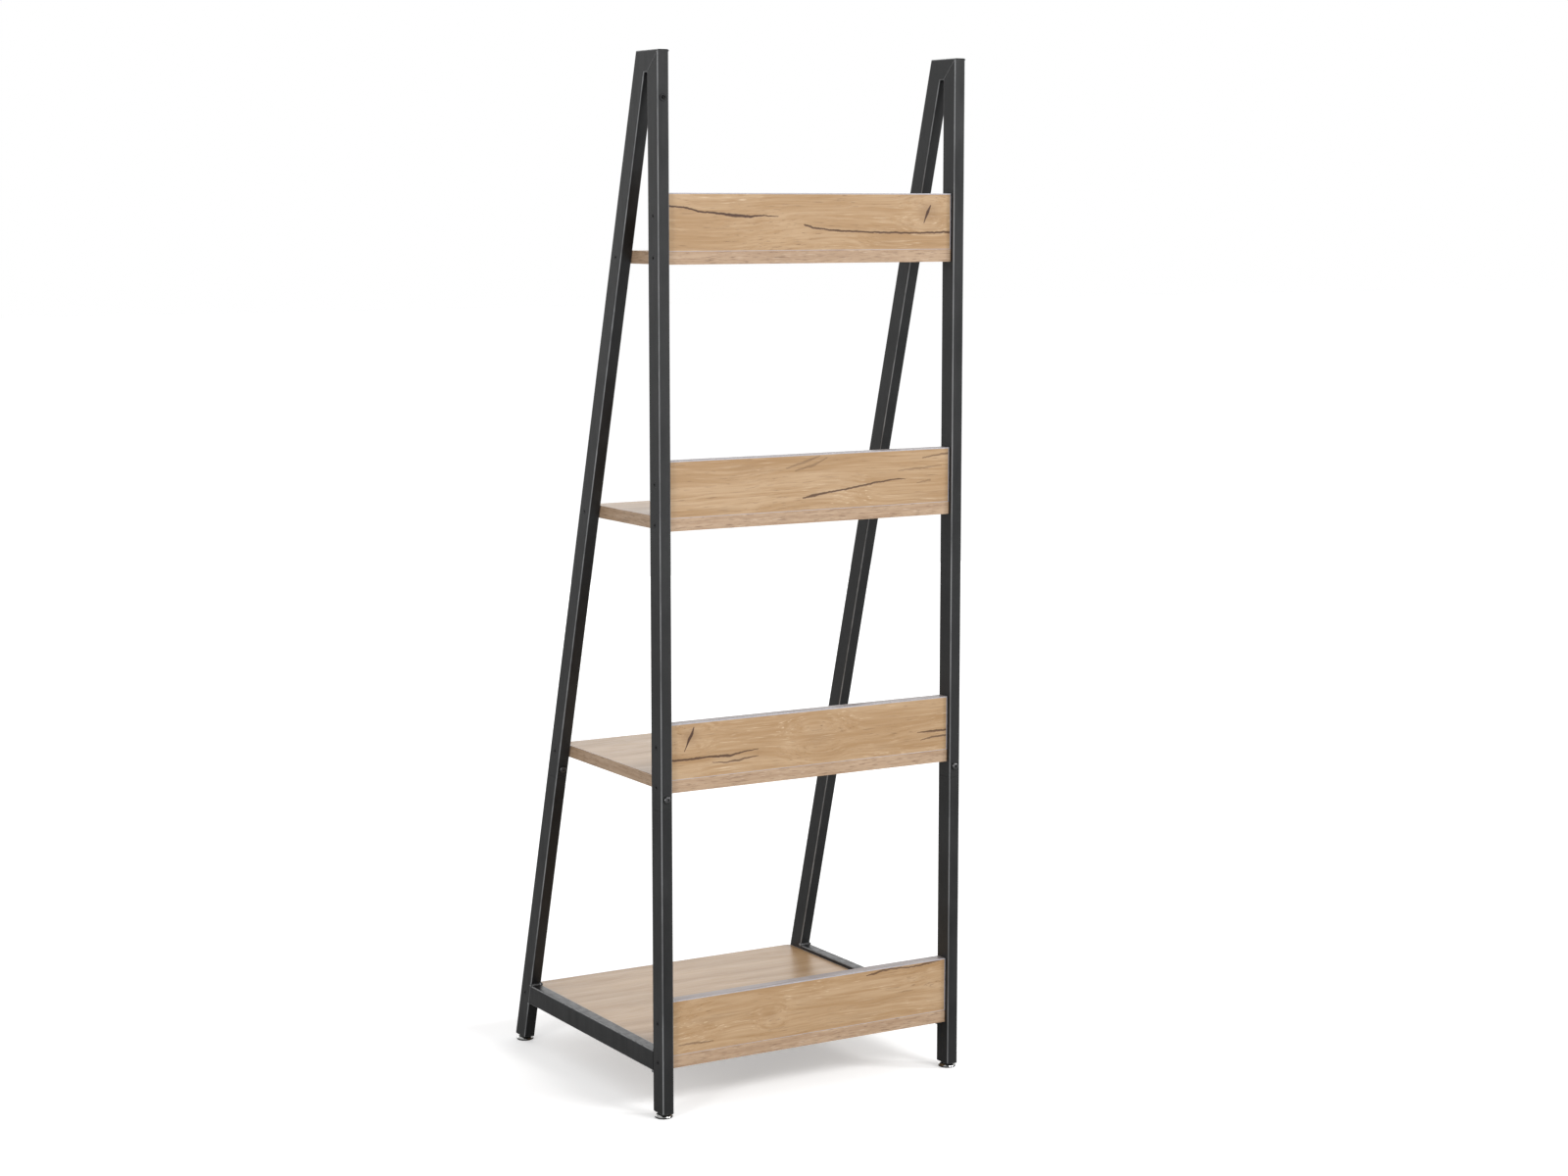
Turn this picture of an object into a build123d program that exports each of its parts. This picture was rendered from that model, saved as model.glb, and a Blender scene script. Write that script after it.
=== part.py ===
from build123d import *
import math
import os

# A free-standing ladder shelf. Two side frames of round-cornered steel tube, each a vertical
# rear post, a leaning front leg, a short top rail and a low side rail, carry four boards that get
# deeper towards the floor. Each board has an upright stop board along its rear edge.
#
# Millimetres. +Z is up, the open front faces -Y and the wall side faces +Y. The origin is on the
# floor, in the middle of the whole shelf's box.

# ---------------------------------------------------------------- overall sizes
overall_height = 1500.0          # floor to the top of the frames
overall_width = 504.0            # across the outer faces of the two side frames
floor_depth = 488.0              # rear face of a post to the front face of its leg, at the floor
top_spread = 2.5                 # how far the same distance at the top exceeds two tube depths

# ---------------------------------------------------------------- steel tube
tube_width = 18.0                # the tube's narrow side, along X
tube_depth = 30.0                # the tube's wide side
tube_wall = 1.2
tube_corner = 2.0                # outer corner radius
smallest_corner = 0.3            # the sharpest inner corner a tube is given

# ---------------------------------------------------------------- joints between frame halves
post_split_drop = 23.5           # post split below the lower shelf
leg_split_drop = 30.5            # leg split below the lower shelf
split_gap = 0.3                  # fine line left between an upper and a lower tube
sleeve_above_split = 27.0
sleeve_below_split = 50.0
sleeve_wall = 1.5
sleeve_clearance = 0.25          # sleeve to tube, each side
joint_screw_rise = 16.5          # joint screw above the split, along the tube
joint_screw_diameter = 6.0
joint_screw_length = 12.0
joint_head_diameter = 10.5
joint_head_height = 3.0
joint_head_rounding = 2.2
joint_socket_size = 4.0          # across the flats of the hexagon socket
joint_socket_depth = 1.8
sleeve_nut_gap = 1.05            # nut to each side wall of its sleeve
sleeve_nut_height = 5.0

# ---------------------------------------------------------------- low side rails
rail_height = 30.0
rail_above_shelf = 5.4           # top of the rail above the top of the bottom shelf

# ---------------------------------------------------------------- boards
board_thickness = 18.0
top_shelf_drop = 291.0           # underside of the top shelf below the top of the frame
upper_shelf_level = 840.5        # undersides of the other shelves above the floor
lower_shelf_level = 470.5
bottom_shelf_level = 72.0
board_side_gap = 0.4             # board end to the tube beside it
board_rear_recess = 7.0          # rear edge behind the rear face of the posts
board_corner = 8.0               # rounded front corners, seen from above
stop_height = 80.0               # upright stop board above its shelf
edge_band = 1.0                  # thickness of the edging strips

# ---------------------------------------------------------------- board fasteners
board_screw_diameter = 5.0
board_screw_length = 50.0
board_head_diameter = 9.0
board_head_depth = 2.0
board_socket_size = 3.0
board_socket_depth = 1.5
stop_screw_rise = 48.0           # stop-board screw above the shelf it stands on
dowel_diameter = 8.0
dowel_in_shelf = 10.0
dowel_in_stop = 20.0
dowel_offset = 150.0             # each side of the middle
hole_clearance = 0.2             # round a shank in a tube wall, on the radius
thread_clearance = 0.05          # round a shank in its thread or pilot hole, on the radius
pilot_extra = 1.0                # pilot hole deeper than the screw or dowel

# ---------------------------------------------------------------- wall fixing insert
anchor_drop = 64.5               # below the top of the frame, in the right-hand rear post
anchor_thread = 6.0
anchor_body_diameter = 9.0
anchor_body_length = 13.0
anchor_flange_diameter = 11.0
anchor_flange_height = 0.8

# ---------------------------------------------------------------- levelling feet
plug_flange = 1.5                # plug shoulder under the tube end
plug_flange_chamfer = 0.6
plug_length = 22.0               # plug inside the tube
plug_clearance = 0.1             # plug to tube, each side
stem_diameter = 8.0
stem_past_plug = 1.5             # stem end above the plug with the foot screwed right in
collar_width = 1.5               # collar round the stem
collar_height = 1.15
collar_gap = 0.3                 # collar to plug with the foot screwed right in
pad_chamfer = 0.6
pad_boss_wall = 2.5
pad_floor = 1.0                  # plastic under the end of the stem
cap_diameter = 26.0
cap_wall = 0.7
cap_lift = 0.8                   # cap rim above the floor
cap_skirt = 1.4                  # straight part of the cap's rim
cap_height = 5.5                 # top of the cap above the floor
foot_clearance = 0.1             # between parts of one foot

# ---------------------------------------------------------------- worked-out places
top_depth = 2 * tube_depth + top_spread
tube_inner_corner = max(tube_corner - tube_wall, smallest_corner)
collar_bottom = cap_height + thread_clearance
collar_top = collar_bottom + collar_height
flange_bottom = collar_top + collar_gap
tube_end_height = flange_bottom + plug_flange
stem_top_height = tube_end_height + plug_length + stem_past_plug
board_levels = {
    "top": overall_height - top_shelf_drop,
    "upper": upper_shelf_level,
    "lower": lower_shelf_level,
    "bottom": bottom_shelf_level,
}
post_split_height = lower_shelf_level - post_split_drop
leg_split_height = lower_shelf_level - leg_split_drop
rail_top_height = bottom_shelf_level + board_thickness + rail_above_shelf
rail_centre_height = rail_top_height - rail_height / 2
lean_slope = (floor_depth - top_depth) / overall_height
lean_angle = math.atan(lean_slope)
leg_half_run = tube_depth / 2 / math.cos(lean_angle)
leg_front_at_tube_end = floor_depth - lean_slope * tube_end_height
rear_face_y = (leg_front_at_tube_end - joint_head_height) / 2
post_front_y = rear_face_y - tube_depth
post_centre_y = rear_face_y - tube_depth / 2
leg_floor_y = rear_face_y - floor_depth + leg_half_run
frame_inner_x = overall_width / 2 - tube_width
frame_centre_x = overall_width / 2 - tube_width / 2
board_half_length = frame_inner_x - board_side_gap
board_rear_y = rear_face_y - board_rear_recess
stop_centre_y = board_rear_y - board_thickness / 2
leg_direction = (0, math.sin(lean_angle), math.cos(lean_angle))
leg_rearward = (0, math.cos(lean_angle), -math.sin(lean_angle))
side_names = {"left": -1, "right": 1}

os.makedirs("parts", exist_ok=True)


# ---------------------------------------------------------------- small helpers
def save(shape, name):
    """Write one named piece, or one group of like pieces, to its own file."""
    export_step(shape, f"parts/{name}.step")


def leg_centre_y(height):
    """Y of the leg's centre line at a height above the floor."""
    return leg_floor_y + lean_slope * height


def leg_plane(x, height):
    """Plane square to the leg, with its origin on the centre line at a height."""
    return Plane(origin=(x, leg_centre_y(height), height), x_dir=(1, 0, 0), z_dir=leg_direction)


def level_plane(height, upward=True):
    """Level plane at a height, facing up or down."""
    return Plane(origin=(0, 0, height), z_dir=(0, 0, 1 if upward else -1))


def keep_in_front(shape, plane):
    """The part of a shape on the side that the plane faces."""
    return split(shape, bisect_by=plane, keep=Keep.TOP)


def tube_section(width, depth, wall, corner, inner_corner):
    """Hollow tube section with rounded corners, centred on the origin."""
    outer = RectangleRounded(width, depth, corner)
    inner = RectangleRounded(width - 2 * wall, depth - 2 * wall, inner_corner)
    return outer - inner


def frame_section():
    """Section of the frame tube."""
    return tube_section(tube_width, tube_depth, tube_wall, tube_corner, tube_inner_corner)


def rod(start, direction, diameter, length):
    """Round bar that starts at a point and runs along a direction."""
    return extrude(Plane(origin=start, z_dir=direction) * Circle(diameter / 2), amount=length)


# ---------------------------------------------------------------- screws
def board_screw():
    """Countersunk screw. Its head is flush with the plane z = 0 and it points down."""
    head = Cone(
        board_screw_diameter / 2, board_head_diameter / 2, board_head_depth,
        align=(Align.CENTER, Align.CENTER, Align.MAX),
    )
    shank = rod((0, 0, 0), (0, 0, -1), board_screw_diameter, board_screw_length)
    hexagon = RegularPolygon(board_socket_size / 2, 6, major_radius=False)
    return head + shank - extrude(hexagon, amount=-board_socket_depth)


def board_screw_cutter():
    """What a board screw needs cut out of the tube that it passes through."""
    head = Cone(
        board_screw_diameter / 2 + hole_clearance, board_head_diameter / 2 + thread_clearance,
        board_head_depth, align=(Align.CENTER, Align.CENTER, Align.MAX),
    )
    shank_diameter = board_screw_diameter + 2 * hole_clearance
    return head + rod((0, 0, 0), (0, 0, -1), shank_diameter, tube_width + pilot_extra)


def joint_screw():
    """Button-head screw. Its head sits on the plane z = 0 and it points down."""
    head = extrude(Circle(joint_head_diameter / 2), amount=joint_head_height)
    head = fillet(head.edges().sort_by(Axis.Z)[-1], joint_head_rounding)
    shank = rod((0, 0, 0), (0, 0, -1), joint_screw_diameter, joint_screw_length)
    hexagon = RegularPolygon(joint_socket_size / 2, 6, major_radius=False)
    socket = extrude(Pos(0, 0, joint_head_height) * hexagon, amount=-joint_socket_depth)
    return head + shank - socket


def board_screw_points(level):
    """Y and Z of the screws that go into the end of one shelf and of its stop board."""
    shelf_middle = level + board_thickness / 2
    stop_screw = level + board_thickness + stop_screw_rise
    return {
        "leg": (leg_centre_y(shelf_middle), shelf_middle),
        "post": (post_centre_y, shelf_middle),
        "stop": (post_centre_y, stop_screw),
    }


def screw_plane(side, point):
    """Plane on the outer face of a side frame, facing outwards, at a Y and Z."""
    y, z = point
    return Plane(origin=(side * overall_width / 2, y, z), x_dir=(0, 1, 0), z_dir=(side, 0, 0))


def drilled_for_boards(tube, side):
    """Drill a frame tube for every board screw that passes through it."""
    box = tube.bounding_box()
    for level in board_levels.values():
        for y, z in board_screw_points(level).values():
            inside = box.min.Z < z < box.max.Z and box.min.Y < y < box.max.Y
            if inside:
                tube = tube - screw_plane(side, (y, z)) * board_screw_cutter()
    return tube


# ---------------------------------------------------------------- where the frame joints are
post_joint_z = post_split_height + joint_screw_rise
leg_joint_plane = leg_plane(0, leg_split_height + joint_screw_rise * math.cos(lean_angle))


def joint_seat(side, member):
    """Plane on the rear face of a post or leg, facing rearwards, at its joint screw."""
    x = side * frame_centre_x
    if member == "post":
        return Plane(origin=(x, rear_face_y, post_joint_z), x_dir=(1, 0, 0), z_dir=(0, 1, 0))
    centre = leg_joint_plane.origin + Vector(*leg_rearward) * (tube_depth / 2)
    return Plane(origin=(x, centre.Y, centre.Z), x_dir=(1, 0, 0), z_dir=leg_rearward)


def joint_hole(side, member):
    """Clearance hole for a joint screw, from outside the tube to past its sleeve's wall."""
    reach = joint_screw_length / 2
    radius = joint_screw_diameter / 2 + hole_clearance
    return joint_seat(side, member) * Cylinder(radius, 2 * reach)


# ---------------------------------------------------------------- side frames
rear_mitre = Plane(
    origin=(0, rear_face_y, overall_height),
    x_dir=(1, 0, 0),
    z_dir=(0, 1, -1),
)
leg_front_top_y = rear_face_y - top_depth
leg_rear_under_rail_y = leg_centre_y(overall_height - tube_depth) + leg_half_run
front_mitre_run = leg_rear_under_rail_y - leg_front_top_y
front_mitre = Plane(
    origin=(0, leg_front_top_y, overall_height),
    x_dir=(1, 0, 0),
    z_dir=(0, -tube_depth, -front_mitre_run),
)


def upper_post(side):
    """Vertical tube above the split, mitred at the top to meet the top rail."""
    length = overall_height - post_split_height
    base = Plane(origin=(side * frame_centre_x, post_centre_y, post_split_height))
    tube = extrude(base * frame_section(), amount=length)
    tube = keep_in_front(tube, rear_mitre)
    tube = tube - joint_hole(side, "post")
    if side == side_names["right"]:
        tube = tube - anchor_plane() * Cylinder(anchor_body_diameter / 2 + thread_clearance, tube_depth)
    return drilled_for_boards(tube, side)


def lower_post(side):
    """Vertical tube below the split."""
    length = post_split_height - split_gap - tube_end_height
    base = Plane(origin=(side * frame_centre_x, post_centre_y, tube_end_height))
    return drilled_for_boards(extrude(base * frame_section(), amount=length), side)


def leg_stock(side):
    """Leaning tube, longer than the leg at both ends."""
    spare = tube_depth
    length = overall_height / math.cos(lean_angle) + 2 * spare
    start = leg_plane(side * frame_centre_x, -spare * math.cos(lean_angle))
    return extrude(start * frame_section(), amount=length)


def upper_leg(side):
    """Leaning tube above the split, mitred at the top to meet the top rail."""
    tube = keep_in_front(leg_stock(side), level_plane(leg_split_height))
    tube = keep_in_front(tube, front_mitre)
    tube = tube - joint_hole(side, "leg")
    return drilled_for_boards(tube, side)


def lower_leg(side):
    """Leaning tube below the split, cut level at both ends."""
    tube = keep_in_front(leg_stock(side), level_plane(tube_end_height))
    tube = keep_in_front(tube, level_plane(leg_split_height - split_gap, upward=False))
    return drilled_for_boards(tube, side)


def top_rail(side):
    """Short level tube that closes the top, mitred to the post and to the leg."""
    start = Plane(
        origin=(side * frame_centre_x, rear_face_y, overall_height - tube_depth / 2),
        x_dir=(1, 0, 0),
        z_dir=(0, -1, 0),
    )
    tube = extrude(start * frame_section(), amount=top_depth)
    tube = split(tube, bisect_by=rear_mitre, keep=Keep.BOTTOM)
    return split(tube, bisect_by=front_mitre, keep=Keep.BOTTOM)


def side_rail(side):
    """Low level tube between the leg and the post, cut to the leg's lean."""
    start = Plane(
        origin=(side * frame_centre_x, post_front_y, rail_centre_height),
        x_dir=(1, 0, 0),
        z_dir=(0, -1, 0),
    )
    section = tube_section(tube_width, rail_height, tube_wall, tube_corner, tube_inner_corner)
    tube = extrude(start * section, amount=floor_depth)
    face_y = leg_centre_y(rail_centre_height) + leg_half_run
    leg_rear_face = Plane(
        origin=(0, face_y, rail_centre_height), x_dir=(1, 0, 0), z_dir=leg_rearward
    )
    return keep_in_front(tube, leg_rear_face)


# ---------------------------------------------------------------- sleeves in the frame joints
sleeve_width = tube_width - 2 * tube_wall - 2 * sleeve_clearance
sleeve_depth = tube_depth - 2 * tube_wall - 2 * sleeve_clearance


def sleeve(side, member):
    """Inner tube that bridges a split, drilled for its joint screw."""
    x = side * frame_centre_x
    if member == "post":
        middle = Plane(origin=(x, post_centre_y, post_split_height))
    else:
        middle = leg_plane(x, leg_split_height)
    section = tube_section(
        sleeve_width, sleeve_depth, sleeve_wall, tube_inner_corner, tube_inner_corner / 2
    )
    low_end = middle.offset(-sleeve_below_split)
    tube = extrude(low_end * section, amount=sleeve_below_split + sleeve_above_split)
    return tube - joint_hole(side, member)


def sleeve_nut(side, member):
    """Hexagon nut fixed inside the sleeve, behind the joint screw's hole."""
    depth = tube_wall + sleeve_clearance + sleeve_wall
    half_width = sleeve_width / 2 - sleeve_wall - sleeve_nut_gap
    hexagon = RegularPolygon(half_width, 6, major_radius=False, rotation=30)
    bore = Circle(joint_screw_diameter / 2 + thread_clearance)
    nut = extrude(hexagon - bore, amount=-sleeve_nut_height)
    return joint_seat(side, member) * Pos(0, 0, -depth) * nut


# ---------------------------------------------------------------- wall fixing insert
def anchor_plane():
    """Plane on the rear face of the right-hand post at the wall fixing, facing the wall."""
    origin = (frame_centre_x, rear_face_y, overall_height - anchor_drop)
    return Plane(origin=origin, x_dir=(1, 0, 0), z_dir=(0, 1, 0))


def wall_anchor():
    """Threaded insert with a flange on the rear face of the post."""
    flange = extrude(Circle(anchor_flange_diameter / 2), amount=anchor_flange_height)
    body = extrude(Circle(anchor_body_diameter / 2), amount=-anchor_body_length)
    bore = Cylinder(anchor_thread / 2, 2 * anchor_body_length + 2 * anchor_flange_height)
    return anchor_plane() * (flange + body - bore)


# ---------------------------------------------------------------- boards
def shelf_front_y(level):
    """Y of a shelf's front edge, in line with the legs' front face at its top surface."""
    return leg_centre_y(level + board_thickness) - leg_half_run


def shelf_outline(level, inset):
    """Plan of a shelf with rounded front corners, taken in by an inset all round."""
    front = shelf_front_y(level) + inset
    rear = board_rear_y - inset
    half = board_half_length - inset
    plan = Pos(0, (front + rear) / 2) * Rectangle(2 * half, rear - front)
    corners = plan.vertices().group_by(Axis.Y)[0]
    return fillet(corners, board_corner - inset)


def end_holes(level, names):
    """Pilot holes for the screws with these names, in both ends of a board."""
    holes = []
    reach = board_screw_length + pilot_extra
    for side in side_names.values():
        for name in names:
            y, z = board_screw_points(level)[name]
            start = (side * overall_width / 2, y, z)
            diameter = board_screw_diameter + 2 * thread_clearance
            holes.append(rod(start, (-side, 0, 0), diameter, reach))
    return holes


def dowel_points(level):
    """Middle of each dowel where it crosses from a shelf into its stop board."""
    top = level + board_thickness
    return [(sign * dowel_offset, stop_centre_y, top) for sign in (-1, 1)]


def dowel(point, clearance=0.0, extra=0.0):
    """Wooden dowel through a point, or the hole for one."""
    x, y, z = point
    length = dowel_in_shelf + dowel_in_stop + 2 * extra
    return rod((x, y, z - dowel_in_shelf - extra), (0, 0, 1), dowel_diameter + 2 * clearance, length)


def dowel_holes(level):
    """Holes for the dowels between one shelf and its stop board."""
    return [dowel(point, thread_clearance, pilot_extra) for point in dowel_points(level)]


def shelf_board(level):
    """Core board of one shelf."""
    board = extrude(Pos(0, 0, level) * shelf_outline(level, edge_band), amount=board_thickness)
    return board - end_holes(level, ("leg", "post")) - dowel_holes(level)


def shelf_edge_band(level):
    """Edging strip round the four sides of one shelf."""
    ring = shelf_outline(level, 0) - shelf_outline(level, edge_band)
    band = extrude(Pos(0, 0, level) * ring, amount=board_thickness)
    return band - end_holes(level, ("leg", "post"))


def stop_block(level, inset):
    """Block of a stop board, taken in at the top and at both ends."""
    length = 2 * (board_half_length - inset)
    middle = Pos(0, stop_centre_y, level + board_thickness)
    align = (Align.CENTER, Align.CENTER, Align.MIN)
    return middle * Box(length, board_thickness, stop_height - inset, align=align)


def stop_board(level):
    """Core of the upright board along the rear edge of one shelf."""
    return stop_block(level, edge_band) - end_holes(level, ("stop",)) - dowel_holes(level)


def stop_edge_band(level):
    """Edging strip over the top and both ends of one stop board."""
    return stop_block(level, 0) - stop_block(level, edge_band) - end_holes(level, ("stop",))


# ---------------------------------------------------------------- levelling feet
def tube_plug(side, member):
    """Plastic plug in the lower end of a tube, with a shoulder and a threaded hole."""
    x = side * frame_centre_x
    body_section = RectangleRounded(
        tube_width - 2 * tube_wall - 2 * plug_clearance,
        tube_depth - 2 * tube_wall - 2 * plug_clearance,
        tube_inner_corner,
    )
    if member == "post":
        y = post_centre_y
        body = extrude(Plane(origin=(x, y, tube_end_height)) * body_section, amount=plug_length)
        flange_depth = tube_depth
    else:
        y = leg_centre_y(tube_end_height)
        body = extrude(leg_plane(x, 0) * body_section, amount=plug_length + tube_end_height)
        body = keep_in_front(body, level_plane(tube_end_height))
        flange_depth = 2 * leg_half_run
    shoulder = RectangleRounded(tube_width, flange_depth, tube_corner)
    flange = extrude(Pos(x, y, flange_bottom) * shoulder, amount=plug_flange)
    flange = chamfer(flange.faces().sort_by(Axis.Z)[0].outer_wire().edges(), plug_flange_chamfer)
    bore_diameter = stem_diameter + 2 * thread_clearance
    bore = rod((x, y, 0), (0, 0, 1), bore_diameter, tube_end_height + 2 * plug_length)
    return body + flange - bore


def spun(outline, x, y):
    """Turn a closed outline of radius and height pairs into a round piece at X and Y."""
    face = make_face(outline)
    return Pos(x, y, 0) * revolve(Plane.XZ * face, axis=Axis.Z)


def foot_stem(x, y):
    """Threaded stud with a round collar above the pad."""
    stud_bottom = pad_floor + thread_clearance
    stud = rod((x, y, stud_bottom), (0, 0, 1), stem_diameter, stem_top_height - stud_bottom)
    collar_diameter = stem_diameter + 2 * collar_width
    collar = rod((x, y, collar_bottom), (0, 0, 1), collar_diameter, collar_height)
    return stud + collar


def foot_pad(x, y):
    """Plastic base of a foot, with a boss round the end of the stem."""
    rim = cap_diameter / 2 - cap_wall - foot_clearance
    rim_height = cap_lift + cap_skirt
    boss = stem_diameter / 2 + pad_boss_wall
    boss_height = cap_height - cap_wall - foot_clearance
    bore = stem_diameter / 2 + thread_clearance
    corners = [
        (0, 0), (rim - pad_chamfer, 0), (rim, pad_chamfer), (rim, rim_height), (boss, rim_height),
        (boss, boss_height), (bore, boss_height), (bore, pad_floor), (0, pad_floor),
    ]
    return spun(Polyline(*corners, close=True).edges(), x, y)


def cap_arc(rim, top_radius, top):
    """Rounded shoulder of the cap between its rim and its flat top."""
    shoulder = cap_lift + cap_skirt
    share = math.sin(math.radians(45))
    middle = (top_radius + (rim - top_radius) * share, shoulder + (top - shoulder) * share)
    return ThreePointArc((rim, shoulder), middle, (top_radius, top))


def foot_cap(x, y):
    """Domed metal cover over the pad."""
    outer = cap_diameter / 2
    inner = outer - cap_wall
    hole = stem_diameter / 2 + foot_clearance
    top_radius = stem_diameter / 2 + pad_boss_wall
    under_top = cap_height - cap_wall
    inner_top_radius = top_radius + foot_clearance
    shoulder = cap_lift + cap_skirt
    outline = [
        Line((outer, cap_lift), (outer, shoulder)),
        cap_arc(outer, top_radius, cap_height),
        Line((top_radius, cap_height), (hole, cap_height)),
        Line((hole, cap_height), (hole, under_top)),
        Line((hole, under_top), (inner_top_radius, under_top)),
        cap_arc(inner, inner_top_radius, under_top),
        Line((inner, shoulder), (inner, cap_lift)),
        Line((inner, cap_lift), (outer, cap_lift)),
    ]
    return spun(outline, x, y)


# ---------------------------------------------------------------- build the side frames
for side_name, side in side_names.items():
    save(upper_post(side), f"rear_post_upper_{side_name}")
    save(lower_post(side), f"rear_post_lower_{side_name}")
    save(upper_leg(side), f"front_leg_upper_{side_name}")
    save(lower_leg(side), f"front_leg_lower_{side_name}")
    save(top_rail(side), f"top_rail_{side_name}")
    save(side_rail(side), f"side_rail_{side_name}")
    save(sleeve(side, "post"), f"post_sleeve_{side_name}")
    save(sleeve(side, "leg"), f"leg_sleeve_{side_name}")
save(wall_anchor(), "wall_anchor_insert")

# ---------------------------------------------------------------- build the boards
for level_name, level in board_levels.items():
    save(shelf_board(level), f"shelf_board_{level_name}")
    save(shelf_edge_band(level), f"shelf_edge_band_{level_name}")
    save(stop_board(level), f"stop_board_{level_name}")
    save(stop_edge_band(level), f"stop_edge_band_{level_name}")

# ---------------------------------------------------------------- build the fasteners
all_joints = [(side, member) for side in side_names.values() for member in ("post", "leg")]
joint_screws = [joint_seat(side, member) * joint_screw() for side, member in all_joints]
save(Compound(children=joint_screws), "frame_joint_screws")
save(Compound(children=[sleeve_nut(side, member) for side, member in all_joints]), "sleeve_nuts")

shelf_screws = []
stop_screws = []
dowels = []
for level in board_levels.values():
    points = board_screw_points(level)
    for side in side_names.values():
        shelf_screws.append(screw_plane(side, points["leg"]) * board_screw())
        shelf_screws.append(screw_plane(side, points["post"]) * board_screw())
        stop_screws.append(screw_plane(side, points["stop"]) * board_screw())
    dowels.extend(dowel(point) for point in dowel_points(level))
save(Compound(children=shelf_screws), "shelf_screws")
save(Compound(children=stop_screws), "stop_board_screws")
save(Compound(children=dowels), "stop_board_dowels")

# ---------------------------------------------------------------- build the levelling feet
foot_places = {"front": leg_centre_y(tube_end_height), "rear": post_centre_y}
foot_members = {"front": "leg", "rear": "post"}
for end_name, y in foot_places.items():
    for side_name, side in side_names.items():
        x = side * frame_centre_x
        place_name = f"{end_name}_{side_name}"
        save(tube_plug(side, foot_members[end_name]), f"foot_plug_{place_name}")
        save(foot_stem(x, y), f"foot_stem_{place_name}")
        save(foot_pad(x, y), f"foot_pad_{place_name}")
        save(foot_cap(x, y), f"foot_cap_{place_name}")
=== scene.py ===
"""Looks of the ladder shelf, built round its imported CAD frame.

Axes: +Z up, +Y the wall side with the upright posts, -Y the open front with
the leaning legs, +X the right-hand frame. Every length is in metres.
"""

import logging
import math
from collections.abc import Callable
from dataclasses import dataclass, field
from enum import Enum

import bpy
from mathutils import Matrix, Vector


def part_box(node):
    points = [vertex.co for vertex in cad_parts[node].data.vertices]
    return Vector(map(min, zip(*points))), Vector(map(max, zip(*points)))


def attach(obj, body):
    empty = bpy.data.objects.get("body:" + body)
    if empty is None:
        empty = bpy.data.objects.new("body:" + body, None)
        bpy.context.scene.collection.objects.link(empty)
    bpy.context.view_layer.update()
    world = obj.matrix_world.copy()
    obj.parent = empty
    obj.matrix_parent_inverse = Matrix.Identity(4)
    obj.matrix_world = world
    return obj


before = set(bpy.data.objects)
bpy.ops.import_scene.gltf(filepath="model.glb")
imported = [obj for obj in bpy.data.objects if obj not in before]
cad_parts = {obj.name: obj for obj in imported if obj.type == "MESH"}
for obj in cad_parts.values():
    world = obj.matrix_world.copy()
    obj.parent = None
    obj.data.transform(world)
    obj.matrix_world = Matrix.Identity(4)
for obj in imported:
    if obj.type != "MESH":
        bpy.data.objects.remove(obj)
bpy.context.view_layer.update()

LOG = logging.getLogger("ladder_shelf")
MAIN_BODY = "shelf_frame"

Point2 = tuple[float, float]
Point3 = tuple[float, float, float]
Colour = tuple[float, float, float]
Socket = bpy.types.NodeSocket


class Side(Enum):
    """The two side frames, with the sign of X on each."""

    LEFT = -1
    RIGHT = 1


class Level(Enum):
    """The four tiers, by the name their CAD nodes carry."""

    TOP = "top"
    UPPER = "upper"
    LOWER = "lower"
    BOTTOM = "bottom"


class Slot(Enum):
    """The material slot in the record meant for the added trim; no piece here is given it."""

    FRAME = "black_frame"


# ---- material nodes ----


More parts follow.
